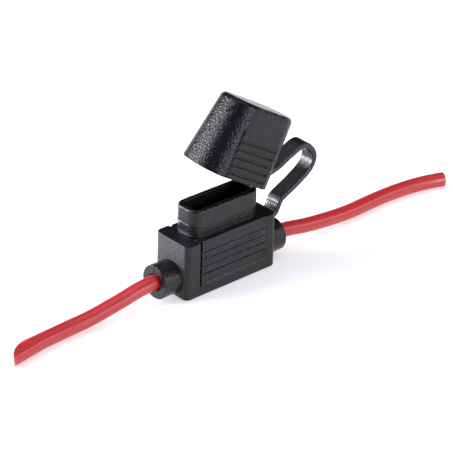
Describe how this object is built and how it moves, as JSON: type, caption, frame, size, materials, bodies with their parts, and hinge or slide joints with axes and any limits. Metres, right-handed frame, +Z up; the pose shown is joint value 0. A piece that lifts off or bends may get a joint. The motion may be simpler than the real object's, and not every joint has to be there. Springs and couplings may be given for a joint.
{
  "type": "inline fuse holder",
  "caption": "Moulded inline holder for a flat blade fuse, on two insulated leads, with an open push-on cap held by a flexible strap.",
  "frame": {"origin": "middle of the housing's flat underside", "axes": "+X along the leads towards the strap's end, +Z up out of the fuse pocket, Y across the housing"},
  "size_m": [0.1454, 0.0147, 0.0493],
  "materials": {
    "black_moulding": "satin with a fine spark-eroded grain",
    "red_insulation": "smooth, softly glossy",
    "bare_strands": "bright copper strands",
    "tinned_sheet": "tin plated"
  },
  "bodies": {
    "holder": {"housing": "black_moulding", "strap": "black_moulding", "lead_left": "red_insulation", "lead_right": "red_insulation", "conductor_left": "bare_strands", "conductor_right": "bare_strands", "terminal_left": "tinned_sheet", "terminal_right": "tinned_sheet"},
    "lid": {"cap": "black_moulding"}
  },
  "joints": [
    {"name": "cap_hinge", "type": "hinge", "parent": "holder", "child": "lid", "pos_m": [0.0246, 0, 0.0179], "axis": [0.1219, 0.9925, 0], "range_deg": [-30.7, 45], "stiffness_Nm_per_rad": 0.02, "springref_deg": 1.6, "deforming": ["strap"]}
  ]
}
